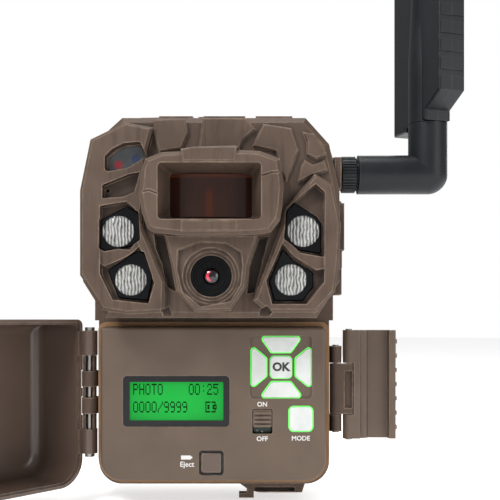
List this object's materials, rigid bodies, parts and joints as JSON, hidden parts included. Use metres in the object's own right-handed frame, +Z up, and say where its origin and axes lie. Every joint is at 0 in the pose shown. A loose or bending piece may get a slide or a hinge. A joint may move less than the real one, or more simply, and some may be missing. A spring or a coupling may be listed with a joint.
{
  "type": "trail camera",
  "caption": "Cellular trail camera with a swing-open control door, draw latch, keypad and display, pull-out battery tray and a swivelling paddle antenna.",
  "frame": {"origin": "mouth of the threaded mounting insert in the middle of the back rest plane, level with the split between upper housing and control panel", "axes": "the viewer looks along +Y at the front, +X is the viewer's right, +Z is up; +Y is the mounting thread's axis out of the back"},
  "size_m": [0.2313, 0.1161, 0.2928],
  "materials": {
    "amber_window": "dark amber polycarbonate",
    "black_gloss": "polished black plastic",
    "brass": "plain brass",
    "brown_shell": "fine moulded texture, matte brown",
    "cell_case": "printed battery jacket over steel can",
    "circuit_board": "solder mask over glass fibre",
    "clear_lens": "clear ribbed acrylic",
    "dark_plastic": "matte charcoal plastic",
    "display": "backlit green liquid crystal display",
    "gasket_tan": "soft tan seal",
    "lead_jacket": "thin black coaxial lead",
    "led_chip": "phosphor on a light emitting chip",
    "optical_glass": "coated optical glass",
    "seal_black": "soft black seal",
    "silicone_key": "translucent white silicone",
    "smoke_window": "smoked translucent plastic",
    "steel": "bright steel"
  },
  "bodies": {
    "camera_body": {"led_lens_left_upper": "clear_lens", "led_bezel_left_upper": "black_gloss", "led_lens_right_upper": "clear_lens", "led_bezel_right_upper": "black_gloss", "led_lens_left_lower": "clear_lens", "led_bezel_left_lower": "black_gloss", "led_lens_right_lower": "clear_lens", "led_bezel_right_lower": "black_gloss", "led_boards": "circuit_board", "led_chips": "led_chip", "front_shell": "brown_shell", "window_hood": "brown_shell", "lens_shield": "brown_shell", "pir_window": "amber_window", "status_window": "smoke_window", "lens_holder": "dark_plastic", "image_sensor": "black_gloss", "lens_barrel": "black_gloss", "lens_glass": "optical_glass", "main_board": "circuit_board", "modem_module": "steel", "motion_sensor": "steel", "status_lights": "led_chip", "door_gasket": "gasket_tan", "control_panel": "brown_shell", "keypad_membrane": "silicone_key", "control_board": "circuit_board", "memory_card": "black_gloss", "display_bezel": "black_gloss", "display_module": "display", "latch_body_pin": "steel", "antenna_connector": "brass", "antenna_lead": "lead_jacket", "mount_insert": "brass", "case_screws": "steel", "shell_seal": "seal_black", "rear_shell": "brown_shell"},
    "door": {"door_shell": "brown_shell", "hinge_pin": "steel"},
    "latch_link": {"latch_link": "brown_shell"},
    "latch_lever": {"latch_lever": "brown_shell", "latch_lever_pin": "steel"},
    "antenna_collar": {"antenna_collar": "dark_plastic"},
    "antenna_elbow": {"antenna_elbow": "dark_plastic", "antenna_bush": "dark_plastic"},
    "antenna_blade": {"antenna_blade_left": "dark_plastic", "antenna_blade_right": "dark_plastic", "antenna_strip": "brass"},
    "battery_tray": {"battery_tray": "brown_shell", "batteries": "cell_case", "battery_contacts": "steel"},
    "eject_button": {"eject_button": "brown_shell"},
    "power_knob": {"power_knob": "brown_shell"},
    "ir_cut_filter": {"ir_cut_filter": "optical_glass"},
    "key_up": {"key_up": "silicone_key"},
    "key_down": {"key_down": "silicone_key"},
    "key_left": {"key_left": "silicone_key"},
    "key_right": {"key_right": "silicone_key"},
    "key_enter": {"key_enter": "silicone_key"},
    "key_mode": {"key_mode": "silicone_key"}
  },
  "joints": [
    {"name": "door_hinge", "type": "hinge", "parent": "camera_body", "child": "door", "pos_m": [-0.0508, -0.04, -0.03], "axis": [0, 0, 1], "range_deg": [-16, 129]},
    {"name": "latch_link_hinge", "type": "hinge", "parent": "camera_body", "child": "latch_link", "pos_m": [0.0504, -0.034, -0.03], "axis": [0, 0, 1], "range_deg": [-90, 10]},
    {"name": "latch_lever_hinge", "type": "hinge", "parent": "latch_link", "child": "latch_lever", "pos_m": [0.0559, -0.034, -0.03], "axis": [0, 0, 1], "range_deg": [0, 80]},
    {"name": "antenna_collar_spin", "type": "hinge", "parent": "camera_body", "child": "antenna_collar", "pos_m": [0.0512, -0.0445, 0.0578], "axis": [1, 0, 0], "continuous": true},
    {"name": "antenna_elbow_turn", "type": "hinge", "parent": "camera_body", "child": "antenna_elbow", "pos_m": [0.0576, -0.0445, 0.0578], "axis": [1, 0, 0], "range_deg": [-150, 150]},
    {"name": "antenna_blade_swivel", "type": "hinge", "parent": "antenna_elbow", "child": "antenna_blade", "pos_m": [0.0866, -0.0445, 0.0778], "axis": [0, 0, 1], "range_deg": [-90, 90]},
    {"name": "battery_tray_slide", "type": "slide", "parent": "camera_body", "child": "battery_tray", "axis": [0, 0, -1], "range_m": [0, 0.058]},
    {"name": "eject_button_push", "type": "slide", "parent": "camera_body", "child": "eject_button", "axis": [0, 1, 0], "range_m": [0, 0.0014], "stiffness_N_per_m": 100},
    {"name": "power_knob_slide", "type": "slide", "parent": "camera_body", "child": "power_knob", "axis": [0, 0, -1], "range_m": [0, 0.0025]},
    {"name": "ir_cut_filter_slide", "type": "slide", "parent": "camera_body", "child": "ir_cut_filter", "axis": [1, 0, 0], "range_m": [0, 0.0062]},
    {"name": "key_up_push", "type": "slide", "parent": "camera_body", "child": "key_up", "axis": [0, 1, 0], "range_m": [0, 0.0008], "stiffness_N_per_m": 100},
    {"name": "key_down_push", "type": "slide", "parent": "camera_body", "child": "key_down", "axis": [0, 1, 0], "range_m": [0, 0.0008], "stiffness_N_per_m": 100},
    {"name": "key_left_push", "type": "slide", "parent": "camera_body", "child": "key_left", "axis": [0, 1, 0], "range_m": [0, 0.0008], "stiffness_N_per_m": 100},
    {"name": "key_right_push", "type": "slide", "parent": "camera_body", "child": "key_right", "axis": [0, 1, 0], "range_m": [0, 0.0008], "stiffness_N_per_m": 100},
    {"name": "key_enter_push", "type": "slide", "parent": "camera_body", "child": "key_enter", "axis": [0, 1, 0], "range_m": [0, 0.0008], "stiffness_N_per_m": 100},
    {"name": "key_mode_push", "type": "slide", "parent": "camera_body", "child": "key_mode", "axis": [0, 1, 0], "range_m": [0, 0.0008], "stiffness_N_per_m": 100}
  ]
}
